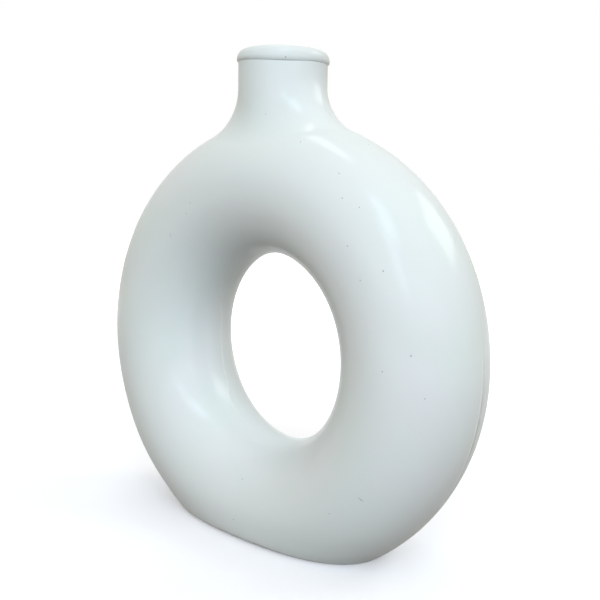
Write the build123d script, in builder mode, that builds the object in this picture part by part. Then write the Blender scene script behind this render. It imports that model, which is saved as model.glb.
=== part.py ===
from build123d import *
import os

# Donut vase: a hollow ring standing on edge, with a flat base under it and a collared neck on top.
# The ring is two dished halves luted together on the plane y = 0, the front half facing -Y.
# Millimetres, +Z up, origin at the middle of the base.

# Ring
ring_diameter = 220.0
tube_diameter = 63.6
ring_centre_height = 91.0
wall = 5.0
floor_wall = 5.5
base_edge_round = 5.0

# Neck and its flare into the ring
neck_diameter = 42.0
neck_wall = 4.5
neck_flare_radius = 28.5
throat_round = 14.0
neck_joint_above_ring = 5.0
neck_length = 17.5
spigot_length = 6.0

# Lip, a rolled coil that caps the neck
lip_height = 7.0
lip_overhang = 0.9
lip_socket_depth = 2.6

# Clay strips that fill the seam between the halves, standing slightly proud of the skin
seam_width = 1.6
seam_depth = 2.4
seam_stand = 0.15

# Parts of the neck's wall that go to its spigot and, at the top, to the lip's skirt
spigot_wall_share = 0.5
lip_skirt_share = 0.5

# Heights of the lip's widest line and of its inner edge, and reach of its crest across the wall
lip_widest_share = 0.3
lip_inner_edge_share = 0.55
lip_crest_share = 0.45

# Places worked out from the sizes above
ring_radius = ring_diameter / 2
tube_radius = tube_diameter / 2
tube_centre_radius = ring_radius - tube_radius
hole_radius = ring_radius - tube_diameter
neck_radius = neck_diameter / 2
bore_radius = neck_radius - neck_wall
spigot_radius = bore_radius + neck_wall * spigot_wall_share
tube_top_height = ring_centre_height + tube_centre_radius
neck_joint_height = ring_centre_height + ring_radius + neck_joint_above_ring
lip_foot_height = neck_joint_height + neck_length
neck_top_height = lip_foot_height + lip_socket_depth
vase_height = lip_foot_height + lip_height
lip_seat_radius = neck_radius - neck_wall * lip_skirt_share

ring_axis = Axis((0, 0, ring_centre_height), (0, 1, 0))
neck_joint_plane = Plane.XY.offset(neck_joint_height)


def vase_form(form_tube_radius, form_neck_radius, floor_height, flare_radius, top_height):
    """A solid ring with a neck flaring out of it, cut off flat at floor_height."""
    with BuildPart() as form:
        with BuildSketch(Plane.XY.offset(ring_centre_height)):
            with Locations((tube_centre_radius, 0)):
                Circle(form_tube_radius)
        revolve(axis=ring_axis)
        with BuildSketch(Plane.XY.offset(tube_top_height)):
            Circle(form_neck_radius)
        extrude(amount=top_height - tube_top_height)
        neck_edges = form.edges(Select.LAST).filter_by_position(
            Axis.Z, tube_top_height, top_height, (False, False)
        )
        fillet(neck_edges.filter_by(GeomType.LINE, reverse=True), flare_radius)
        split(bisect_by=Plane.XY.offset(floor_height), keep=Keep.TOP)
    return form.part


def seam_outline(growth):
    """The vase's outline on the seam plane, filled, with its edge moved out by growth."""
    with BuildSketch(Plane.XZ) as outline:
        with Locations((0, ring_centre_height)):
            Circle(ring_radius)
            Rectangle(neck_diameter, lip_foot_height - ring_centre_height, align=(Align.CENTER, Align.MIN))
        corners = outline.vertices().filter_by_position(Axis.Y, tube_top_height, neck_joint_height)
        fillet(corners, neck_flare_radius)
        Rectangle(ring_diameter, ring_radius, align=(Align.CENTER, Align.MAX), mode=Mode.SUBTRACT)
        fillet(outline.vertices().group_by(Axis.Y)[0], base_edge_round)
        offset(amount=growth)
    return outline.sketch


# Outside and hollow of the whole vase up to the lip's foot, and the clay between them
with BuildPart() as outside:
    add(vase_form(tube_radius, neck_radius, 0, neck_flare_radius, lip_foot_height))
    fillet(outside.faces().sort_by(Axis.Z)[0].edges(), base_edge_round)

with BuildPart() as body:
    add(outside.part)
    add(
        vase_form(tube_radius - wall, bore_radius, floor_wall, throat_round, vase_height),
        mode=Mode.SUBTRACT,
    )

# Strip round the outside of the seam, from one side of the neck to the other by way of the base
with BuildPart() as rim_seam:
    with BuildSketch(Plane.XZ):
        add(seam_outline(seam_stand))
        add(seam_outline(-seam_depth), mode=Mode.SUBTRACT)
    extrude(amount=seam_width / 2, both=True)
    split(bisect_by=Plane.XY, keep=Keep.TOP)
    split(bisect_by=neck_joint_plane, keep=Keep.BOTTOM)

# Strip round the hole's side of the seam
with BuildPart() as hole_seam:
    with BuildSketch(Plane.XZ):
        with Locations((0, ring_centre_height)):
            Circle(hole_radius + seam_depth)
            Circle(hole_radius - seam_stand, mode=Mode.SUBTRACT)
    extrude(amount=seam_width / 2, both=True)

# Room for both strips, and for the neck's spigot
with BuildPart() as seam_room:
    with BuildSketch(Plane.XZ):
        with Locations((0, vase_height / 2)):
            Rectangle(ring_diameter * 2, vase_height * 2)
        add(seam_outline(-seam_depth), mode=Mode.SUBTRACT)
        with Locations((0, ring_centre_height)):
            Circle(hole_radius + seam_depth)
    extrude(amount=seam_width / 2, both=True)
    with BuildSketch(neck_joint_plane):
        Circle(spigot_radius)
    extrude(amount=-spigot_length)


def ring_half(kept_side):
    """One dished half of the ring, open at the seam, with its share of the neck's flare."""
    with BuildPart() as half:
        add(body.part)
        split(bisect_by=neck_joint_plane, keep=Keep.BOTTOM)
        split(bisect_by=Plane.XZ, keep=kept_side)
        add(seam_room.part, mode=Mode.SUBTRACT)
    return half.part


# Front and back halves of the ring
with BuildPart() as front_half:
    add(ring_half(Keep.TOP))

with BuildPart() as back_half:
    add(ring_half(Keep.BOTTOM))

# Neck, a collar whose spigot drops into the throat of the joined halves
with BuildPart() as neck:
    add(body.part)
    split(bisect_by=neck_joint_plane, keep=Keep.TOP)
    with BuildSketch(neck_joint_plane):
        Circle(spigot_radius)
        Circle(bore_radius, mode=Mode.SUBTRACT)
    extrude(amount=-spigot_length)
    with BuildSketch(Plane.XY.offset(lip_foot_height)):
        Circle(lip_seat_radius)
        Circle(bore_radius, mode=Mode.SUBTRACT)
    extrude(amount=lip_socket_depth)

# Lip, rolled over the neck's thinned top edge
with BuildPart() as lip:
    crease = (neck_radius, lip_foot_height)
    widest = (neck_radius + lip_overhang, lip_foot_height + lip_height * lip_widest_share)
    crest = (bore_radius + neck_wall * lip_crest_share, vase_height)
    inner_edge = (bore_radius, lip_foot_height + lip_height * lip_inner_edge_share)
    with BuildSketch(Plane.XZ):
        with BuildLine():
            Spline(crease, widest, crest, inner_edge, tangents=[(1, 0), (0, 1), (-1, 0), (0, -1)])
            Polyline(
                inner_edge,
                (bore_radius, neck_top_height),
                (lip_seat_radius, neck_top_height),
                (lip_seat_radius, lip_foot_height),
                crease,
            )
        make_face()
    revolve(axis=Axis.Z)

pieces = {
    "front_half": front_half,
    "back_half": back_half,
    "rim_seam": rim_seam,
    "hole_seam": hole_seam,
    "neck": neck,
    "lip": lip,
}
os.makedirs("parts", exist_ok=True)
for piece_name, piece in pieces.items():
    piece.part.label = piece_name
    export_step(piece.part, f"parts/{piece_name}.step")
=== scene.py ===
"""The look of the donut vase: white satin glaze over two ring halves, their seams, a neck and a rolled lip.

Every length is in metres in the CAD's own frame: +Z up, the front half towards -Y, the origin in the
middle of the base. A place on the ring is given by two angles: round the ring from its top towards +X,
and round the tube from the ring's rim over one side to the hole.
"""
import math

import bmesh
import bpy
import numpy as np
from bpy.props import FloatProperty, FloatVectorProperty, PointerProperty
from mathutils import Matrix, Vector


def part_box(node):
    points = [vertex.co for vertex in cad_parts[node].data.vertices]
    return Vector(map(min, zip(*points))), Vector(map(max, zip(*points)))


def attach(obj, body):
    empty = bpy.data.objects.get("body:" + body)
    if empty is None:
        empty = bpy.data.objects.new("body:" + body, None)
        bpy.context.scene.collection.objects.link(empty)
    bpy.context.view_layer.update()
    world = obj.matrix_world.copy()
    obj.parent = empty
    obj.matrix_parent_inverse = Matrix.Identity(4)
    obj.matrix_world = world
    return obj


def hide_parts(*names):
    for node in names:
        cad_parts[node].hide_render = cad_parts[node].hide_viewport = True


bl_info = {
    "name": "Donut Vase",
    "version": (1, 0, 0),
    "blender": (4, 5, 0),
    "location": "3D View > Sidebar > Donut Vase",
    "description": "Builds the glazed surfaces of a ring-shaped vase on its packed CAD model",
    "category": "Object",
}

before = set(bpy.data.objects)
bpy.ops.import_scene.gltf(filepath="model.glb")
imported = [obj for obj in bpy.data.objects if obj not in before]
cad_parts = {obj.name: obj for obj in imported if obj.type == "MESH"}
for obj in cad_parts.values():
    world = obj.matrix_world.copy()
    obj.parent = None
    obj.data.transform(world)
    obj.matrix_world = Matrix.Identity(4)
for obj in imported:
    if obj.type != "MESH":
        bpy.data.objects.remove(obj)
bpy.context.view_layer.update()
MM = 0.001


def cad_box(node):
    """Lowest and highest corner of a CAD node, to the nearest tenth of a millimetre."""
    return [Vector([round(value, 4) for value in corner]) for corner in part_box(node)]


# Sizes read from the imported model
half_low, half_high = cad_box("front_half")
neck_low, neck_high = cad_box("neck")
lip_low, lip_high = cad_box("lip")
rim_seam_high = cad_box("rim_seam")[1]
hole_seam_low, hole_seam_high = cad_box("hole_seam")

RING_RADIUS = half_high.x
TUBE_RADIUS = -half_low.y
TUBE_CENTRE_RADIUS = RING_RADIUS - TUBE_RADIUS
HOLE_RADIUS = TUBE_CENTRE_RADIUS - TUBE_RADIUS
RING_HEIGHT = (hole_seam_low.z + hole_seam_high.z) / 2
JOINT_HEIGHT = half_high.z
NECK_RADIUS = neck_high.y
SPIGOT_FOOT = neck_low.z
NECK_TOP = neck_high.z
LIP_FOOT = lip_low.z
LIP_TOP = lip_high.z
LIP_RADIUS = lip_high.x
SEAM_HALF_WIDTH = rim_seam_high.y
SEAM_DEPTH = hole_seam_high.x - HOLE_RADIUS

# Sizes that the boxes don't show, as in the part's source
NECK_FLARE = 28.5 * MM
BASE_ROUND = 5.0 * MM
WALL = 5.0 * MM
FLOOR_WALL = 5.5 * MM
FLOOR_ROUND = 2.0 * MM
NECK_WALL = 4.5 * MM
THROAT_ROUND = 14.0 * MM
BORE_RADIUS = NECK_RADIUS - NECK_WALL
SEAT_RADIUS = NECK_RADIUS - NECK_WALL / 2
LIP_WIDEST_SHARE = 0.3
LIP_INNER_EDGE_SHARE = 0.55
LIP_CREST_SHARE = 0.45

# How far the lip's underside turns in before the glaze fills the crease, in degrees below level
LIP_UNDERSIDE_ANGLE = 50

# Cells of the skins: round the ring, round half its tube, and those left free for the neck and the base
CELLS_ROUND = 240
CELLS_ACROSS = 64
NECK_CELLS = (18, 26)
BASE_CELLS = (28, 30)
COLLAR_ROWS = 7
FLARE_ROWS = 16
EDGE_ROWS = 6
FLAT_ROWS = 8
NECK_ROWS = 10
SEAM_ROWS = 8
LIP_COLUMNS = 192
LIP_ARC_ROWS = 12

# Heights over which the unevenness, the ridge and the crest die away towards the base or the neck's joint
BASE_CALM = 12 * MM
NECK_CALM = 14 * MM
CREST_CALM = 14 * MM

# Where the crest on the rim's seam is proud: angle round the ring, share of its height, and spread
CREST_PLACES = ((101, 1.0, 13), (-84, 0.45, 16), (131, 0.3, 6), (-128, 0.3, 8))

# Where the lines on the hole's seam show most, the spread of that, and how much they show elsewhere
SCRAPE_PLACE = -100
SCRAPE_SPREAD = 32
SCRAPE_ELSEWHERE = 0.2

# How the lines on both seams are broken: two waves round the ring in radians for each degree, the second
# one's phase, and the share of the line that they work on
CREST_BREAKS = (2.3, 0.9, 1, 0.25)
SCRAPE_BREAKS = (1.7, 0.63, 2, 0.3)

# Bearing at which the lip's roll is thickest, and where it sags: bearing, share of the sag, and spread
LIP_THICK_BEARING = -48
LIP_SAGS = ((30, 1.0, 20), (2, 0.3, 9))

# How far the lip's foot hangs below the CAD's where the roll is thickest, as a share of its rise
LIP_HANG_SHARE = 0.15

# How far the lip's top and its widest line wander inside the CAD surface
LIP_TOP_WANDER = 0.12 * MM
LIP_SIDE_WANDER = 0.08 * MM

# How the hole's seam strays from the middle plane: angles round the ring, and millimetres towards +Y. From
# -137 to -53 and at the bottom it is where the photograph shows it, and the rest is made up
SEAM_STRAY = (
    (-180, -1.6), (-150, -1.8), (-137, -1.1), (-118, 4.3), (-99, 6.1), (-81, 5.9), (-65, 1.9), (-53, -3.1),
    (-35, -2.2), (0, 0.6), (60, 1.4), (120, -0.9), (180, -1.6),
)

# Painted shade beside the rim's crest: how dark, and how far out; and how dark it is between the hole's
# lines
CREST_SHADE = 0.45
CREST_SHADE_WIDTH = 3.6 * MM
SCRAPE_SHADE = 0.15


def linear(colour):
    """An sRGB hex colour as linear RGBA."""
    channels = [int(colour[place:place + 2], 16) / 255 for place in (1, 3, 5)]
    return [c / 12.92 if c <= 0.04045 else ((c + 0.055) / 1.055) ** 2.4 for c in channels] + [1.0]


class VaseFormSettings(bpy.types.PropertyGroup):
    """How far the potter's hand shows in the shape."""

    hand_depth: FloatProperty(
        name="Hand depth", description="Half the range of the slow unevenness of the whole skin",
        default=0.22 * MM, min=0.0, unit="LENGTH", precision=5,
    )
    ridge_depth: FloatProperty(
        name="Seam ridge", description="How far the skin falls away on both sides of the rim's seam",
        default=0.25 * MM, min=0.0, unit="LENGTH", precision=5,
    )
    ridge_spread: FloatProperty(
        name="Ridge spread", description="Distance from the seam over which the ridge falls away",
        default=8.0 * MM, min=0.0, unit="LENGTH", precision=5,
    )
    crest_height: FloatProperty(
        name="Seam crest", description="Height of the thin crest left on the rim's seam",
        default=0.13 * MM, min=0.0, unit="LENGTH", precision=5,
    )
    scrape_height: FloatProperty(
        name="Hole seam lines", description="Height of the two scraped lines on the hole's seam",
        default=0.1 * MM, min=0.0, unit="LENGTH", precision=5,
    )
    lip_rise: FloatProperty(
        name="Lip rise", description="How much thinner the rolled lip gets at two sides of the neck",
        default=2.2 * MM, min=0.0, max=2.5 * MM, unit="LENGTH", precision=5,
    )
    lip_sag: FloatProperty(
        name="Lip sag", description="How far the rolled lip sags over the neck where it sags most",
        default=0.8 * MM, min=0.0, unit="LENGTH", precision=5,
    )


class VaseGlazeSettings(bpy.types.PropertyGroup):
    """Colours and gloss of the glaze."""

    pooled: FloatVectorProperty(
        name="Pooled glaze", description="Colour where the glaze gathered thickly", subtype="COLOR",
        default=linear("#DEE7E9")[:3], min=0.0, max=1.0,
    )
    thin: FloatVectorProperty(
        name="Thin glaze", description="Colour where the glaze ran thin", subtype="COLOR",
        default=linear("#E0E5EA")[:3], min=0.0, max=1.0,
    )
    pinhole: FloatVectorProperty(
        name="Pinholes", description="Colour of the clay dust in the glaze's pinholes", subtype="COLOR",
        default=linear("#6F6A60")[:3], min=0.0, max=1.0,
    )
    roughness: FloatProperty(
        name="Roughness", description="Gloss of the glaze's smooth coat, from 0 for a mirror to 1 for chalk",
        default=0.17, min=0.0, max=1.0, subtype="FACTOR",
    )


class VaseStageSettings(bpy.types.PropertyGroup):
    """Strength of the studio's light."""

    lamp_strength: FloatProperty(
        name="Lamp strength", description="Multiplies the power of every lamp", default=1.0, min=0.0,
    )
    sky_strength: FloatProperty(
        name="Sky strength", description="Light of the pale room round the vase", default=0.47, min=0.0,
    )


def smooth_step(value):
    """Rises from 0 to 1 without corners while value does the same, and stays level outside."""
    value = np.clip(value, 0.0, 1.0)
    return value * value * (3 - 2 * value)


def unit(vectors):
    """The same directions at length 1."""
    return vectors / np.linalg.norm(vectors, axis=-1, keepdims=True)


def ring_angle(points):
    """Angle round the ring from its top, in degrees, positive towards +X."""
    return np.degrees(np.arctan2(points[..., 0], points[..., 2] - RING_HEIGHT))


def seam_stray(theta):
    """Metres from the middle plane to the hole's seam, at an angle round the ring in radians."""
    degrees = math.degrees(math.atan2(math.sin(theta), math.cos(theta)))
    for (start, low), (end, high) in zip(SEAM_STRAY, SEAM_STRAY[1:]):
        if degrees <= end:
            return (low + (high - low) * float(smooth_step((degrees - start) / (end - start)))) * MM
    return SEAM_STRAY[-1][1] * MM


# Shape of the skin

# Slow waves in the hand-made skin: direction across the vase, wavelength in millimetres, and phase
HAND_WAVES = (
    ((0.9, 0.3, 0.4), 88, 0.6),
    ((-0.3, 0.5, 0.9), 71, 2.1),
    ((0.5, -0.8, 0.3), 63, 4.0),
    ((-0.7, -0.2, 0.8), 52, 1.3),
    ((0.2, 0.9, -0.5), 47, 5.2),
)


def hand(points):
    """How far the skin stands off the CAD surface: never above it, so that the vase keeps its size."""
    form = bpy.context.scene.vase_form
    waves = np.zeros(points.shape[:-1])
    for direction, length, phase in HAND_WAVES:
        along = points @ unit(np.array(direction))
        waves += np.sin(along * 2 * math.pi / (length * MM) + phase)
    above_base = smooth_step(points[..., 2] / BASE_CALM)
    from_seam = np.sqrt(points[..., 1] ** 2 + SEAM_HALF_WIDTH ** 2)
    from_axis = np.hypot(points[..., 0], points[..., 2] - RING_HEIGHT)
    on_rim = smooth_step((from_axis - TUBE_CENTRE_RADIUS) / TUBE_RADIUS)
    under_neck = smooth_step((JOINT_HEIGHT - points[..., 2]) / NECK_CALM)
    ridge = 1 - np.exp(-from_seam / form.ridge_spread)
    uneven = form.hand_depth * (1 + waves / len(HAND_WAVES))
    return -(uneven + form.ridge_depth * ridge * on_rim * under_neck) * above_base


def shaped(points, normals):
    """Points moved onto the hand-made skin, and their normals there."""
    step = 0.05 * MM
    slope = np.stack(
        [(hand(points + step * axis) - hand(points - step * axis)) / (2 * step) for axis in np.eye(3)],
        axis=-1,
    )
    slope -= np.sum(slope * normals, axis=-1, keepdims=True) * normals
    return points + hand(points)[..., None] * normals, unit(normals - slope)


class Skin:
    """One surface of a ring half. Balls rolled in its corners give the neck's flare and the base's edge."""

    def __init__(self, side, tube, neck, flare, floor, edge):
        self.side = side
        self.tube = tube
        self.neck = neck
        self.flare = flare
        self.floor = floor
        self.edge = edge

    def on_tube(self, theta, phi):
        """Point and normal at an angle round the ring and one round the tube."""
        reach = TUBE_CENTRE_RADIUS + self.tube * math.cos(phi)
        normal = np.array((
            math.cos(phi) * math.sin(theta),
            self.side * math.sin(phi),
            math.cos(phi) * math.cos(theta),
        ))
        point = np.array((
            reach * math.sin(theta),
            self.side * self.tube * math.sin(phi),
            RING_HEIGHT + reach * math.cos(theta),
        ))
        return point, normal

    def flare_ball(self, bearing):
        """Centre of the ball between neck and ring, its directions to both, and its angles on the ring."""
        out = self.neck + self.flare
        x, y = out * math.cos(bearing), out * math.sin(bearing)
        reach = TUBE_CENTRE_RADIUS + math.sqrt((self.tube + self.flare) ** 2 - y ** 2)
        height = math.sqrt(reach ** 2 - x ** 2)
        angles = np.array((math.atan2(x, height), math.atan2(y, reach - TUBE_CENTRE_RADIUS)))
        to_neck = np.array((-math.cos(bearing), -self.side * math.sin(bearing), 0.0))
        to_ring = -self.on_tube(*angles)[1]
        return np.array((x, self.side * y, RING_HEIGHT + height)), to_neck, to_ring, angles

    def climb(self, bearing, height):
        """Way up the flare and the neck from the ring to a height."""
        centre, to_neck, to_ring, _ = self.flare_ball(bearing)
        turn = math.acos(np.dot(to_neck, to_ring))
        if height >= centre[2]:
            return self.flare * turn + height - centre[2]
        left = math.asin((height - centre[2]) * math.sin(turn) / (self.flare * to_ring[2]))
        return self.flare * (turn - left)

    def up_neck(self, bearing, climb):
        """Point and normal that far up the flare and the neck."""
        centre, to_neck, to_ring, _ = self.flare_ball(bearing)
        turn = math.acos(np.dot(to_neck, to_ring))
        left = turn - climb / self.flare
        if left <= 0:
            foot = centre + self.flare * to_neck
            return foot + np.array((0, 0, -left * self.flare)), -to_neck
        direction = (math.sin(turn - left) * to_neck + math.sin(left) * to_ring) / math.sin(turn)
        return centre + self.flare * direction, -direction

    def edge_ball(self, bearing):
        """Centre of the ball inside the base's edge, and the angles where it meets the ring."""
        drop = RING_HEIGHT - self.floor - self.edge
        inner = self.tube - self.edge
        x = math.sqrt((TUBE_CENTRE_RADIUS + inner) ** 2 - drop ** 2) * math.cos(bearing)
        out = math.hypot(x, drop) - TUBE_CENTRE_RADIUS
        y = math.sqrt(max(inner ** 2 - out ** 2, 0.0))
        angles = np.array((math.atan2(x, -drop) % (2 * math.pi), math.atan2(y, out)))
        return np.array((x, self.side * y, self.floor + self.edge)), angles

    def under_base(self, bearing, turned):
        """Point and normal on the base's edge, from the ring at 0 to the flat at 1."""
        centre, angles = self.edge_ball(bearing)
        start = self.on_tube(*angles)[1]
        down = np.array((0.0, 0.0, -1.0))
        turn = math.acos(np.dot(start, down))
        direction = (math.sin(turn * (1 - turned)) * start + math.sin(turn * turned) * down) / math.sin(turn)
        return centre + self.edge * direction, direction


class SkinMesh:
    """Points, normals and faces of a Skin. The same cells give the same order on every Skin."""

    def __init__(self, skin, top):
        self.skin = skin
        self.points = []
        self.normals = []
        self.faces = []
        self.rim = []
        self.hole = []
        self.joint = []
        self.corners = {}
        self.ring()
        self.neck_collar(top)
        self.base_collar()
        self.points = np.array(self.points)
        self.normals = np.array(self.normals)

    def keep(self, place):
        """Index of a new point."""
        self.points.append(place[0])
        self.normals.append(place[1])
        return len(self.points) - 1

    def angles(self, column, row):
        """Angles of a cell's corner. Towards the hole the rows follow the seam as it strays."""
        theta = 2 * math.pi * column / CELLS_ROUND
        phi = math.pi * row / CELLS_ACROSS
        pull = max(phi / math.pi * 2 - 1, 0.0) ** 2
        return theta, phi - pull * self.skin.side * math.asin(seam_stray(theta) / TUBE_RADIUS)

    def corner(self, column, row):
        """Index of a cell's corner, made when it is first asked for."""
        key = (column % CELLS_ROUND, row)
        if key not in self.corners:
            self.corners[key] = self.keep(self.skin.on_tube(*self.angles(column, row)))
            if row == 0:
                self.rim.append(self.corners[key])
            if row == CELLS_ACROSS:
                self.hole.append(self.corners[key])
        return self.corners[key]

    def ring(self):
        """The ring, all but the cells round the neck and the base."""
        for column in range(CELLS_ROUND):
            from_top = abs((column + 0.5 + CELLS_ROUND / 2) % CELLS_ROUND - CELLS_ROUND / 2)
            from_bottom = CELLS_ROUND / 2 - from_top
            for row in range(CELLS_ACROSS):
                if from_top < NECK_CELLS[0] and row < NECK_CELLS[1]:
                    continue
                if from_bottom < BASE_CELLS[0] and row < BASE_CELLS[1]:
                    continue
                self.faces.append((
                    self.corner(column, row), self.corner(column + 1, row),
                    self.corner(column + 1, row + 1), self.corner(column, row + 1),
                ))

    def collar(self, centre, cells, turn, column_of):
        """Joins the edge of the free cells to rows of points. column_of gives those on one line inwards."""
        across, rows = cells
        path = [(centre - turn * across, row) for row in range(rows)]
        path += [(centre + turn * step, rows) for step in range(-across, across)]
        path += [(centre + turn * across, row) for row in range(rows, -1, -1)]
        lines = [[self.corner(*place)] + column_of(self.angles(*place)) for place in path]
        for line, next_line in zip(lines, lines[1:]):
            for row in range(len(line) - 1):
                face = dict.fromkeys((line[row], next_line[row], next_line[row + 1], line[row + 1]))
                if len(face) > 2:
                    self.faces.append(tuple(face))
        self.rim += lines[0][1:] + lines[-1][1:]
        return lines

    def inwards(self, start, end):
        """Rows on the tube from a free cell's edge to the angles where a ball meets it."""
        start, end = np.array(start), np.array(end)
        places = [start + (end - start) * row / COLLAR_ROWS for row in range(1, COLLAR_ROWS + 1)]
        return [self.keep(self.skin.on_tube(*place)) for place in places]

    def neck_collar(self, top):
        """The flare, up to the neck's joint."""
        skin = self.skin
        self.bearings = []

        def column_of(angles):
            point = skin.on_tube(*angles)[0]
            bearing = math.atan2(skin.side * point[1], point[0])
            climb = skin.climb(bearing, top)
            self.bearings.append(bearing)
            up = [skin.up_neck(bearing, climb * row / FLARE_ROWS) for row in range(1, FLARE_ROWS + 1)]
            return self.inwards(angles, skin.flare_ball(bearing)[3]) + [self.keep(place) for place in up]

        lines = self.collar(0, NECK_CELLS, -1, column_of)
        self.joint = [line[-1] for line in lines]

    def base_collar(self):
        """The base's rounded edge and its flat."""
        skin = self.skin
        length = skin.edge_ball(0.0)[0][0]
        width = skin.side * skin.edge_ball(math.pi / 2)[0][1]

        def column_of(angles):
            point = skin.on_tube(*angles)[0]
            bearing = math.atan2(skin.side * point[1] * length, point[0] * width)
            rows = self.inwards(angles, skin.edge_ball(bearing)[1])
            rows += [self.keep(skin.under_base(bearing, row / EDGE_ROWS)) for row in range(1, EDGE_ROWS + 1)]
            point, normal = skin.under_base(bearing, 1.0)
            if angles[1] < 1e-9:
                return rows + [rows[-1]] * FLAT_ROWS
            for row in range(1, FLAT_ROWS + 1):
                rows.append(self.keep((point * (1, 1 - row / FLAT_ROWS, 1), normal)))
            return rows

        lines = self.collar(CELLS_ROUND // 2, BASE_CELLS, 1, column_of)
        self.rim += [line[-1] for line in lines[1:-1]]

    def edges(self):
        """Edges that belong to one face alone."""
        count = {}
        for face in self.faces:
            for start, end in zip(face, face[1:] + face[:1]):
                key = frozenset((start, end))
                count[key] = count.get(key, 0) + 1
        return [tuple(sorted(key)) for key, uses in count.items() if uses == 1]


def seam_side(normals):
    """Directions across the seam, square to the skin."""
    return unit(np.array((0.0, 1.0, 0.0)) - normals[..., 1:2] * normals)


def outer_skin(side):
    """A half's outside, by its CAD surface."""
    return SkinMesh(Skin(side, TUBE_RADIUS, NECK_RADIUS, NECK_FLARE, 0.0, BASE_ROUND), JOINT_HEIGHT)


def half_mesh(side):
    """One dished half, with rebates for the seams and a socket for the neck, and its glaze's painted shade.
    """
    outer = outer_skin(side)
    inner = SkinMesh(
        Skin(side, TUBE_RADIUS - WALL, BORE_RADIUS, THROAT_ROUND, FLOOR_WALL, FLOOR_ROUND), SPIGOT_FOOT
    )
    seam = sorted(set(outer.rim + outer.hole))
    base = outer.points.copy()
    into_half = side * SEAM_HALF_WIDTH * seam_side(outer.normals)
    outer.points[seam] += into_half[seam]
    skin_points, skin_normals = shaped(outer.points, outer.normals)

    edge = sorted(set(seam + outer.joint))
    count = len(base)
    rebate_foot = base - SEAM_DEPTH * outer.normals
    rebate_wall = rebate_foot + into_half
    radial = unit(base * (1, 1, 0))
    for index in outer.joint:
        rebate_wall[index] = radial[index] * SEAT_RADIUS + np.array((0, 0, JOINT_HEIGHT))
        rebate_foot[index] = radial[index] * SEAT_RADIUS + np.array((0, 0, SPIGOT_FOOT))

    points = np.concatenate([skin_points, inner.points, rebate_wall[edge], rebate_foot[edge]])
    normals = np.concatenate([skin_normals, -inner.normals, outer.normals[edge], outer.normals[edge]])
    faces = outer.faces + [tuple(count + index for index in face) for face in inner.faces]
    wall = {index: 2 * count + place for place, index in enumerate(edge)}
    foot = {index: 2 * count + len(edge) + place for place, index in enumerate(edge)}
    for start, end in outer.edges():
        for upper, lower in (
            ((start, end), (wall[start], wall[end])),
            ((wall[start], wall[end]), (foot[start], foot[end])),
            ((foot[start], foot[end]), (count + start, count + end)),
        ):
            faces.append((upper[0], upper[1], lower[1], lower[0]))
    # Painted shade on the back half's outside, beside the rim's crest
    grey = np.zeros(len(points))
    if side > 0:
        grey[:count] = painted_shade_beside_crest(outer.points)
    return (points, normals, faces), {"seam_painted_shade": grey}


def broken(angle, quick, slow, phase, share):
    """How much of a seam's line is left at an angle round the ring, from 1 down."""
    return 1 - share + share * np.sin(angle * quick) * np.sin(angle * slow + phase)


def crest(points):
    """Height of the thin crest on the rim's seam, as a share: proudest low on the right, and broken."""
    angle = ring_angle(points)
    proud = sum(share * np.exp(-((angle - place) / spread) ** 2) for place, share, spread in CREST_PLACES)
    return proud * broken(angle, *CREST_BREAKS) * smooth_step(points[..., 2] / CREST_CALM)


def painted_shade_beside_crest(points):
    """Share of painted shade on the back half's glaze beside the rim's crest."""
    away = np.abs(points[..., 1] - SEAM_HALF_WIDTH)
    return CREST_SHADE * crest(points) * (1 - smooth_step(away / CREST_SHADE_WIDTH))


def scrape(points):
    """Height of the two lines on the hole's seam, as a share. They show most on the left."""
    angle = ring_angle(points)
    most = np.exp(-((angle - SCRAPE_PLACE) / SCRAPE_SPREAD) ** 2)
    shown = SCRAPE_ELSEWHERE + (1 - SCRAPE_ELSEWHERE) * most
    return shown * broken(angle, *SCRAPE_BREAKS)


def strip_mesh(places, height, shares, heights_across):
    """A clay strip along some of a skin's edge, its top flush with both halves but for the lines on it.

    It also gives each point's painted highlight on a line and painted shade beside one, for the glaze.
    """
    skin = outer_skin(-1)
    chosen = set(places(skin))
    order = {index: place for place, index in enumerate(sorted(chosen))}
    base = skin.points[sorted(chosen)]
    normals = skin.normals[sorted(chosen)]
    across = seam_side(normals)
    rows = []
    row_normals = []
    painted_highlight_rows = []
    painted_shade_rows = []
    for row in range(SEAM_ROWS + 1):
        share = 2 * row / SEAM_ROWS - 1
        points, tilted = shaped(base + share * SEAM_HALF_WIDTH * across, normals)
        # The glaze's values here: a painted highlight on the lines, and painted shade beside or between them
        line, slope, painted_shade_share = heights_across(share)
        shown = shares(base)
        proud = height * shown[:, None]
        painted_highlight_rows.append(line * shown)
        painted_shade_rows.append(painted_shade_share * shown)
        rows.append(points + line * proud * normals)
        row_normals.append(unit(tilted - slope * proud / SEAM_HALF_WIDTH * across))
    for share in (1, -1):
        rows.append(base + share * SEAM_HALF_WIDTH * across - SEAM_DEPTH * normals)
        row_normals.append(-normals)
        painted_highlight_rows.append(np.zeros(len(base)))
        painted_shade_rows.append(np.zeros(len(base)))
    points = np.concatenate(rows)
    lines = {"seam_painted_highlight": np.concatenate(painted_highlight_rows), "seam_painted_shade": np.concatenate(painted_shade_rows)}
    count = len(order)
    loop = len(rows)
    faces = []
    uses = {index: 0 for index in chosen}
    for start, end in skin.edges():
        if start in chosen and end in chosen:
            uses[start] += 1
            uses[end] += 1
            a, b = order[start], order[end]
            for row in range(loop):
                here, there = row * count, (row + 1) % loop * count
                faces.append((here + a, here + b, there + b, there + a))
    for index, times in uses.items():
        if times == 1:
            faces.append(tuple(row * count + order[index] for row in range(loop)))
    return (points, np.concatenate(row_normals), faces), lines


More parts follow.
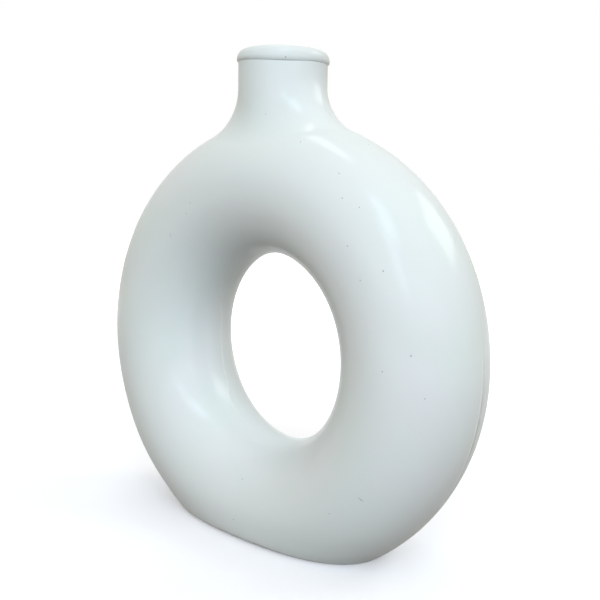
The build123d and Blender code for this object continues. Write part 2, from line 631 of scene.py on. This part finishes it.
def one_line(share):
    """Height and slope across the strip of one thin line, and the painted shade behind it."""
    width = 0.55
    painted_shade_start = 0.4
    painted_shade_width = 0.5
    height = math.exp(-((share / width) ** 2)) - math.exp(-(1 / width ** 2))
    slope = -2 * share / width ** 2 * math.exp(-((share / width) ** 2))
    return height, slope, CREST_SHADE * float(smooth_step((share - painted_shade_start) / painted_shade_width))


def two_lines(share):
    """Height and slope across the strip of two thin lines side by side, and the painted shade between them.
    """
    height = math.sin(math.pi * share) ** 2
    return height, math.pi * math.sin(2 * math.pi * share), SCRAPE_SHADE * (1 - height)


def band_faces(columns, rows):
    """Faces of a band closed both ways, whose points run row by row."""
    faces = []
    for row in range(rows):
        for column in range(columns):
            here, there = row * columns, (row + 1) % rows * columns
            beside = (column + 1) % columns
            faces.append((here + column, here + beside, there + beside, there + column))
    return faces


def lip_foot(bearing):
    """Height of the lip's foot. The roll is thinner at two sides of the neck, and sags in places."""
    form = bpy.context.scene.vase_form
    turn = np.degrees(np.arctan2(np.sin(bearing), np.cos(bearing)))
    rise = np.sin(bearing - math.radians(LIP_THICK_BEARING)) ** 2 - LIP_HANG_SHARE
    sag = sum(share * np.exp(-((turn - place) / spread) ** 2) for place, share, spread in LIP_SAGS)
    return LIP_FOOT + form.lip_rise * rise - form.lip_sag * sag


def neck_mesh():
    """The collar from the joint to the lip, with a spigot below and a thinned edge above."""
    bearings = []
    columns = []
    for side in (-1, 1):
        mesh = outer_skin(side)
        turns = mesh.bearings if side < 0 else mesh.bearings[-2:0:-1]
        for bearing in turns:
            low = mesh.skin.climb(bearing, JOINT_HEIGHT)
            high = mesh.skin.climb(bearing, float(lip_foot(side * bearing)))
            columns.append([
                mesh.skin.up_neck(bearing, low + (high - low) * row / NECK_ROWS)
                for row in range(NECK_ROWS + 1)
            ])
            bearings.append(side * bearing)
    outside = np.array(columns).transpose(2, 1, 0, 3)
    points, normals = shaped(outside[0], outside[1])
    bearings = np.array(bearings)
    radial = np.stack([np.cos(bearings), np.sin(bearings), np.zeros(len(bearings))], axis=-1)
    rows = list(points)
    row_normals = list(normals)
    for radius, height, facing in (
        (SEAT_RADIUS, LIP_FOOT, 1), (SEAT_RADIUS, NECK_TOP, 1), (BORE_RADIUS, NECK_TOP, -1),
        (BORE_RADIUS, JOINT_HEIGHT, -1), (BORE_RADIUS, SPIGOT_FOOT, -1),
        (SEAT_RADIUS, SPIGOT_FOOT, 1), (SEAT_RADIUS, JOINT_HEIGHT, 1),
    ):
        rows.append(radial * radius + np.array((0, 0, height)))
        row_normals.append(radial * facing)
    return np.concatenate(rows), np.concatenate(row_normals), band_faces(len(bearings), len(rows))


def lip_mesh():
    """The rolled coil over the neck's edge: its underside, two elliptical quarters, then its seat."""
    bearings = np.linspace(0, 2 * math.pi, LIP_COLUMNS, endpoint=False)
    radial = np.stack([np.cos(bearings), np.sin(bearings), np.zeros(LIP_COLUMNS)], axis=-1)
    upwards = np.array((0.0, 0.0, 1.0))
    height = LIP_TOP - LIP_FOOT
    foot = lip_foot(bearings)
    low_side = LIP_FOOT + LIP_WIDEST_SHARE * height - (LIP_FOOT - foot) / 2
    top = LIP_TOP - LIP_TOP_WANDER * (1 + np.cos(2 * bearings + 1.1))
    widest = LIP_RADIUS - LIP_SIDE_WANDER * (1 + np.cos(3 * bearings))
    crest_radius = BORE_RADIUS + LIP_CREST_SHARE * NECK_WALL
    inner_edge = LIP_FOOT + LIP_INNER_EDGE_SHARE * height
    level = np.ones(LIP_COLUMNS)
    outside = (low_side, widest - crest_radius, top - low_side, 0.0)
    inside = (inner_edge * level, (crest_radius - BORE_RADIUS) * level, top - inner_edge, 0.5)
    rows = []
    normals = []
    lowest = -math.radians(LIP_UNDERSIDE_ANGLE)
    bulge = (widest - NECK_RADIUS) / (1 - math.cos(lowest))
    for step in range(LIP_ARC_ROWS):
        angle = lowest * (1 - step / LIP_ARC_ROWS)
        radius = NECK_RADIUS + bulge * (math.cos(angle) - math.cos(lowest))
        rise = foot + (low_side - foot) * (1 - math.sin(angle) / math.sin(lowest))
        upright = (low_side - foot) * math.cos(angle) / math.sin(-lowest)
        point = radial * radius[:, None] + upwards * rise[:, None]
        normal = unit(radial * upright[:, None] + upwards * (bulge * math.sin(angle))[:, None])
        point, normal = shaped(point, normal)
        rows.append(point)
        normals.append(normal)
    for middle_height, wide, tall, start in (outside, inside):
        for step in range(0 if start == 0.0 else 1, LIP_ARC_ROWS + 1):
            angle = math.pi * (start + 0.5 * step / LIP_ARC_ROWS)
            radius = crest_radius + wide * math.cos(angle)
            rise = middle_height + tall * math.sin(angle)
            point = radial * radius[:, None] + upwards * rise[:, None]
            normal = unit(
                radial * (math.cos(angle) / wide)[:, None] + upwards * (math.sin(angle) / tall)[:, None]
            )
            point, normal = shaped(point, normal)
            rows.append(point)
            normals.append(normal)
    for radius, rise, facing in (
        (BORE_RADIUS, NECK_TOP, -1), (SEAT_RADIUS, NECK_TOP, -1), (SEAT_RADIUS, LIP_FOOT, -1),
    ):
        rows.append(radial * radius + upwards * rise)
        normals.append(radial * facing)
    return np.concatenate(rows), np.concatenate(normals), band_faces(LIP_COLUMNS, len(rows))


def add_piece(name, geometry, node, lines=None):
    """A closed, smooth mesh that stands for a CAD node. lines are values that its glaze reads, by name."""
    points, normals, faces = geometry
    mesh = bpy.data.meshes.new(name)
    mesh.from_pydata(points.tolist(), [], faces)
    sorter = bmesh.new()
    sorter.from_mesh(mesh)
    bmesh.ops.recalc_face_normals(sorter, faces=sorter.faces)
    open_edges = sum(not edge.is_manifold for edge in sorter.edges)
    sorter.to_mesh(mesh)
    sorter.free()
    if open_edges:
        raise RuntimeError(f"{name} isn't closed: {open_edges} edges")
    mesh.shade_smooth()
    mesh.normals_split_custom_set_from_vertices(normals.tolist())
    mesh.materials.append(glazed_stoneware())
    for value_name, values in (lines or {}).items():
        mesh.attributes.new(value_name, "FLOAT", "POINT").data.foreach_set("value", values)
    piece = bpy.data.objects.new(name, mesh)
    bpy.context.scene.collection.objects.link(piece)
    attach(piece, "root")
    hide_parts(node)
    return piece


# Materials

def add_node(tree, kind, inputs=None, **settings):
    """A node with its settings. An input is a value, or another node's output to link."""
    node = tree.nodes.new(kind)
    for name, value in settings.items():
        setattr(node, name, value)
    for name, value in (inputs or {}).items():
        if isinstance(value, bpy.types.NodeSocket):
            tree.links.new(value, node.inputs[name])
        else:
            node.inputs[name].default_value = value
    return node


def new_material(name):
    """An empty material and its node tree, or the one that is there already."""
    material = bpy.data.materials.get(name) or bpy.data.materials.new(name)
    material.use_nodes = True
    material.node_tree.nodes.clear()
    return material, material.node_tree


# Pinholes and two short scratches that the photograph shows in the front half's glaze: angles in degrees,
# and radius in millimetres
GLAZE_MARKS = (
    (38.4, 62.4, 0.36), (43.3, 57.5, 0.3), (49.6, 80.9, 0.32), (60.4, 65.8, 0.38), (-22.9, 94.9, 0.34),
    (-27.0, 100.9, 0.3), (81.9, 60.6, 0.42), (85.9, 82.0, 0.34), (92.0, 50.8, 0.28), (135.9, 79.9, 0.34),
    (-39.7, 103.9, 0.26), (-40.0, 105.2, 0.26), (-40.4, 106.5, 0.24),
    (124.2, 68.8, 0.26), (124.2, 69.7, 0.3), (124.2, 70.6, 0.3), (124.2, 71.5, 0.28), (124.2, 72.4, 0.24),
)
# The same on the flare and the lip: place in millimetres, the way it faces, and radius in millimetres
GLAZE_MARKS_BY_PLACE = (
    ((1.1, -26.8, 192.6), (0.0, -0.8, 0.6), 0.42),
    ((15.07, -15.54, 224.4), (0.7, -0.72, 0.0), 0.42),
)

# Mean distance of the pinholes that are all over the vase, and their radius
PINHOLE_SPREAD = 12.5 * MM
PINHOLE_RADIUS = 0.34 * MM


def glaze_marks():
    """Place of each mark on the hand-made skin, and its radius, in metres."""
    skin = Skin(-1, TUBE_RADIUS, NECK_RADIUS, NECK_FLARE, 0.0, BASE_ROUND)
    places = []
    for theta, phi, radius in GLAZE_MARKS:
        places.append((*skin.on_tube(math.radians(theta), math.radians(phi)), radius))
    for place, facing, radius in GLAZE_MARKS_BY_PLACE:
        places.append((np.array(place) * MM, unit(np.array(facing)), radius))
    for point, normal, radius in places:
        yield tuple(float(value) for value in point + hand(point) * normal), radius * MM


def glazed_stoneware():
    """White stoneware dipped in a satin tin glaze: milky, with faint pooled tints, orange peel and pinholes.

    Fine crystals dull about half of the glaze, so half of it shines as a smooth coat and the rest is matt.
    On the scraped seams the ridges carry a painted highlight, and painted shade greys the glaze beside them.
    The coat's IOR is that of a dense glaze, a little over glass.
    """
    glaze = bpy.context.scene.vase_glaze
    material, tree = new_material("white_satin_glaze_dipped")
    place = add_node(tree, "ShaderNodeTexCoord").outputs["Object"]

    # The glaze gathers in patches a few centimetres wide, faintly greener than where it ran thin
    pooling = add_node(tree, "ShaderNodeTexNoise", {
        "Vector": place, "Scale": 1 / (38 * MM), "Detail": 3.0, "Roughness": 0.55,
    }).outputs["Fac"]
    gathered = add_node(tree, "ShaderNodeMapRange", {"Value": pooling, "From Min": 0.35, "From Max": 0.65})
    tint = add_node(tree, "ShaderNodeMix", {
        0: gathered.outputs["Result"], 6: [*glaze.thin, 1.0], 7: [*glaze.pooled, 1.0],
    }, data_type="RGBA")

    # Pinholes, by the distance to the nearest one as a share of its radius
    cells = add_node(tree, "ShaderNodeTexVoronoi", {"Vector": place, "Scale": 1 / PINHOLE_SPREAD})
    nearest = add_node(tree, "ShaderNodeMath", {
        0: cells.outputs["Distance"], 1: PINHOLE_SPREAD / PINHOLE_RADIUS,
    }, operation="MULTIPLY").outputs[0]
    for centre, radius in glaze_marks():
        away = add_node(tree, "ShaderNodeVectorMath", {0: place, 1: centre}, operation="DISTANCE")
        share = add_node(tree, "ShaderNodeMath", {0: away.outputs["Value"], 1: radius}, operation="DIVIDE")
        nearest = add_node(
            tree, "ShaderNodeMath", {0: nearest, 1: share.outputs[0]}, operation="MINIMUM",
        ).outputs[0]
    pinhole = add_node(tree, "ShaderNodeMapRange", {
        "Value": nearest, "From Min": 0.4, "From Max": 1.1, "To Min": 0.62, "To Max": 0.0,
    }).outputs["Result"]
    colour = add_node(tree, "ShaderNodeMix", {
        0: pinhole, 6: tint.outputs[2], 7: [*glaze.pinhole, 1.0],
    }, data_type="RGBA")

    # Painted highlights on the seams' lines and painted shade beside and between them, broken up in spots a
    # few millimetres wide. Where a piece hasn't these values, they are 0
    painted_line_breakup_noise = add_node(tree, "ShaderNodeTexNoise", {"Vector": place, "Scale": 1 / (3.5 * MM), "Detail": 2.0})
    painted_line_breakup = add_node(tree, "ShaderNodeMapRange", {
        "Value": painted_line_breakup_noise.outputs["Fac"], "From Min": 0.15, "From Max": 0.5,
    })
    for attribute, shade in (("seam_painted_shade", "#77786F"), ("seam_painted_highlight", "#FFFFFF")):
        shown = add_node(tree, "ShaderNodeAttribute", attribute_name=attribute).outputs["Fac"]
        share = add_node(tree, "ShaderNodeMath", {0: shown, 1: painted_line_breakup.outputs["Result"]}, operation="MULTIPLY")
        colour = add_node(tree, "ShaderNodeMix", {
            0: share.outputs[0], 6: colour.outputs[2], 7: linear(shade),
        }, data_type="RGBA")

    # Slow ripples where the glaze ran, and its orange peel, which is drawn 1.8 mm wide, coarser than it is
    ripples = add_node(tree, "ShaderNodeTexNoise", {"Vector": place, "Scale": 1 / (11 * MM), "Detail": 1.0})
    peel = add_node(tree, "ShaderNodeTexNoise", {"Vector": place, "Scale": 1 / (1.8 * MM), "Detail": 1.0})
    run = add_node(tree, "ShaderNodeBump", {"Height": ripples.outputs["Fac"], "Distance": 0.09 * MM})
    dimpled = add_node(tree, "ShaderNodeBump", {
        "Height": peel.outputs["Fac"], "Distance": 0.012 * MM, "Normal": run.outputs["Normal"],
    })
    pitted = add_node(tree, "ShaderNodeBump", {
        "Height": pinhole, "Distance": 0.08 * MM, "Normal": dimpled.outputs["Normal"],
    }, invert=True)

    surface = add_node(tree, "ShaderNodeBsdfPrincipled", {
        "Base Color": colour.outputs[2], "Roughness": 0.5, "Specular IOR Level": 0.0,
        "Coat Weight": 0.45, "Coat Roughness": glaze.roughness, "Coat IOR": 1.65,
        "Normal": pitted.outputs["Normal"], "Coat Normal": pitted.outputs["Normal"],
    })
    add_node(tree, "ShaderNodeOutputMaterial", {"Surface": surface.outputs["BSDF"]})
    return material


class VASE_OT_add_halves(bpy.types.Operator):
    """Add the ring's front and back halves with the neck's flare"""

    bl_idname = "vase.add_halves"
    bl_label = "Add ring halves"

    def execute(self, context):
        for side, node in ((-1, "front_half"), (1, "back_half")):
            geometry, lines = half_mesh(side)
            add_piece(f"glazed_{node}", geometry, node, lines)
        return {"FINISHED"}


class VASE_OT_add_seams(bpy.types.Operator):
    """Add the clay strips along the seam, round the rim and round the hole"""

    bl_idname = "vase.add_seams"
    bl_label = "Add seams"

    def execute(self, context):
        form = context.scene.vase_form
        rim = strip_mesh(lambda skin: skin.rim, form.crest_height, crest, one_line)
        hole = strip_mesh(lambda skin: skin.hole, form.scrape_height, scrape, two_lines)
        for node, (geometry, lines) in (("rim_seam", rim), ("hole_seam", hole)):
            add_piece(f"glazed_{node}", geometry, node, lines)
        return {"FINISHED"}


class VASE_OT_add_neck(bpy.types.Operator):
    """Add the neck's collar"""

    bl_idname = "vase.add_neck"
    bl_label = "Add neck"

    def execute(self, context):
        add_piece("glazed_neck", neck_mesh(), "neck")
        return {"FINISHED"}


class VASE_OT_add_lip(bpy.types.Operator):
    """Add the rolled lip"""

    bl_idname = "vase.add_lip"
    bl_label = "Add lip"

    def execute(self, context):
        add_piece("glazed_lip", lip_mesh(), "lip")
        return {"FINISHED"}


# Stage

# The photograph's camera, from its perspective: place, directions of its picture, lens and shift
CAMERA_PLACE = (239.2 * MM, -269.0 * MM, 160.1 * MM)
CAMERA_RIGHT = (0.76442, 0.64434, 0.02193)
CAMERA_UP = (-0.12193, 0.11109, 0.98630)
CAMERA_FOCAL_PIXELS = 739.3
CAMERA_CENTRE_PIXELS = (300.7, 328.9)
PHOTO_PIXELS = 600
SENSOR_WIDTH_MM = 36.0

# Light that the floor adds as it is seen, from one distance to another, where the lamps don't reach it
NEAR_GLOW = 0.2
FLOOR_GLOW = 0.85
GLOW_START = 0.15
GLOW_END = 1.1

# Soft boxes: name, bearing from the front towards +X, height angle, width, height, watts and colour. With
# the room they were matched to the photograph's shading, and the sharper ones to its highlights
SOFT_BOX_DISTANCE = 1.2
SOFT_BOXES = (
    ("low_front", 39, 20, 2.4, 0.42, 14.2, "#E5F3FF"),
    ("main", 43, 52, 0.22, 0.46, 1.5, "#CCE3FF"),
    ("main_foot", 34, 34, 0.2, 0.6, 1.0, "#DDF0FF"),
    ("window", 139, 40, 0.62, 0.42, 2.8, "#FAFFFF"),
    ("ceiling_strip", -112, 80, 0.18, 0.44, 0.8, "#FFFFFF"),
    ("side_fill", 285, 15, 1.4, 0.42, 0.7, "#FFFFFF"),
    ("back_fill", 218, 32, 2.2, 1.0, 7.6, "#D2E9FF"),
)

# Those that only spread light, and that the glaze doesn't mirror
UNMIRRORED_BOXES = ("low_front", "side_fill", "back_fill")


def add_camera():
    """The camera at the photograph's viewing angle."""
    data = bpy.data.cameras.new("photo_camera")
    data.sensor_width = SENSOR_WIDTH_MM
    data.lens = SENSOR_WIDTH_MM * CAMERA_FOCAL_PIXELS / PHOTO_PIXELS
    data.shift_x = (PHOTO_PIXELS / 2 - CAMERA_CENTRE_PIXELS[0]) / PHOTO_PIXELS
    data.shift_y = (CAMERA_CENTRE_PIXELS[1] - PHOTO_PIXELS / 2) / PHOTO_PIXELS
    data.clip_start = 0.01
    camera = bpy.data.objects.new("photo_camera", data)
    right = Vector(CAMERA_RIGHT).normalized()
    back = right.cross(Vector(CAMERA_UP)).normalized()
    up = back.cross(right)
    turn = Matrix((right, up, back)).transposed()
    camera.matrix_world = Matrix.Translation(CAMERA_PLACE) @ turn.to_4x4()
    bpy.context.scene.collection.objects.link(camera)
    bpy.context.scene.camera = camera


def add_soft_box(name, bearing, rise, width, height, watts, colour):
    """A rectangular lamp that faces the middle of the vase."""
    data = bpy.data.lights.new(f"soft_box_{name}", "AREA")
    data.shape = "RECTANGLE"
    data.size = width
    data.size_y = height
    data.energy = watts * bpy.context.scene.vase_stage.lamp_strength
    data.color = linear(colour)[:3]
    lamp = bpy.data.objects.new(f"soft_box_{name}", data)
    bearing, rise = math.radians(bearing), math.radians(rise)
    direction = Vector((
        math.sin(bearing) * math.cos(rise), -math.cos(bearing) * math.cos(rise), math.sin(rise)
    ))
    lamp.location = direction * SOFT_BOX_DISTANCE + Vector((0, 0, RING_HEIGHT))
    lamp.rotation_euler = direction.to_track_quat("Z", "Y").to_euler()
    lamp.visible_camera = False
    lamp.visible_glossy = name not in UNMIRRORED_BOXES
    bpy.context.scene.collection.objects.link(lamp)


def seen_directly(tree):
    """1 for rays from the camera, off gloss or through glass, and 0 for light that spreads."""
    path = add_node(tree, "ShaderNodeLightPath")
    seen = path.outputs["Is Camera Ray"]
    for other in ("Is Glossy Ray", "Is Transmission Ray"):
        either = add_node(tree, "ShaderNodeMath", {0: seen, 1: path.outputs[other]}, operation="MAXIMUM")
        seen = either.outputs[0]
    return seen


def add_floor():
    """A wide floor, pale and shadowed as it is seen, that throws a little warm light up under the vase."""
    bpy.ops.mesh.primitive_circle_add(vertices=96, radius=4.0, fill_type="NGON", location=(0, 0, 0))
    floor = bpy.context.object
    floor.name = "studio_floor"
    material, tree = new_material("white_card_matte")
    place = add_node(tree, "ShaderNodeTexCoord").outputs["Object"]
    away = add_node(tree, "ShaderNodeVectorMath", {0: place}, operation="LENGTH").outputs["Value"]
    far_glow = add_node(tree, "ShaderNodeMapRange", {
        "Value": away, "From Min": GLOW_START, "From Max": GLOW_END,
        "To Min": NEAR_GLOW, "To Max": FLOOR_GLOW,
    }).outputs["Result"]
    card = add_node(tree, "ShaderNodeBsdfDiffuse", {"Color": linear("#F3F5FF")})
    glow = add_node(tree, "ShaderNodeEmission", {"Color": linear("#FFFFFF"), "Strength": far_glow})
    pale = add_node(tree, "ShaderNodeAddShader", {0: card.outputs[0], 1: glow.outputs[0]})
    dim = add_node(tree, "ShaderNodeBsdfDiffuse", {"Color": linear("#5A4830")})
    both = add_node(tree, "ShaderNodeMixShader", {
        0: seen_directly(tree), 1: dim.outputs[0], 2: pale.outputs[0],
    })
    add_node(tree, "ShaderNodeOutputMaterial", {"Surface": both.outputs[0]})
    floor.data.materials.append(material)


def light_room():
    """A pale, warm room that the camera sees as white."""
    world = bpy.data.worlds.new("pale_room")
    bpy.context.scene.world = world
    world.use_nodes = True
    tree = world.node_tree
    tree.nodes.clear()
    strength = bpy.context.scene.vase_stage.sky_strength
    room = add_node(tree, "ShaderNodeBackground", {"Color": linear("#FFEDC2"), "Strength": strength})
    white = add_node(tree, "ShaderNodeBackground", {"Color": linear("#FFFFFF"), "Strength": 1.0})
    mixed = add_node(tree, "ShaderNodeMixShader", {
        0: seen_directly(tree), 1: room.outputs[0], 2: white.outputs[0],
    })
    add_node(tree, "ShaderNodeOutputWorld", {"Surface": mixed.outputs[0]})


class VASE_OT_set_stage(bpy.types.Operator):
    """Set up the floor, the soft boxes, the pale room and the camera"""

    bl_idname = "vase.set_stage"
    bl_label = "Set stage"

    def execute(self, context):
        add_floor()
        light_room()
        for soft_box in SOFT_BOXES:
            add_soft_box(*soft_box)
        add_camera()
        context.scene.view_settings.view_transform = "Standard"
        return {"FINISHED"}


class VASE_PT_sidebar(bpy.types.Panel):
    """Lists the vase's steps and settings"""

    bl_idname = "VASE_PT_sidebar"
    bl_label = "Donut Vase"
    bl_space_type = "VIEW_3D"
    bl_region_type = "UI"
    bl_category = "Donut Vase"

    def draw(self, context):
        for operator in OPERATORS:
            self.layout.operator(operator.bl_idname)
        for name in SETTINGS:
            settings = getattr(context.scene, name)
            for prop in settings.bl_rna.properties:
                if prop.identifier not in ("rna_type", "name"):
                    self.layout.prop(settings, prop.identifier)


OPERATORS = (VASE_OT_add_halves, VASE_OT_add_seams, VASE_OT_add_neck, VASE_OT_add_lip, VASE_OT_set_stage)
SETTINGS = {"vase_form": VaseFormSettings, "vase_glaze": VaseGlazeSettings, "vase_stage": VaseStageSettings}


def register():
    """Registers the classes and hangs the settings on the scene."""
    for cls in (*SETTINGS.values(), *OPERATORS, VASE_PT_sidebar):
        bpy.utils.register_class(cls)
    for name, group in SETTINGS.items():
        setattr(bpy.types.Scene, name, PointerProperty(type=group))


def unregister():
    """Takes away what register put in place."""
    for name in SETTINGS:
        delattr(bpy.types.Scene, name)
    for cls in reversed((*SETTINGS.values(), *OPERATORS, VASE_PT_sidebar)):
        bpy.utils.unregister_class(cls)


def main():
    """Builds the vase and its stage."""
    register()
    bpy.ops.vase.add_halves()
    bpy.ops.vase.add_seams()
    bpy.ops.vase.add_neck()
    bpy.ops.vase.add_lip()
    bpy.ops.vase.set_stage()


if __name__ == "__main__":
    main()
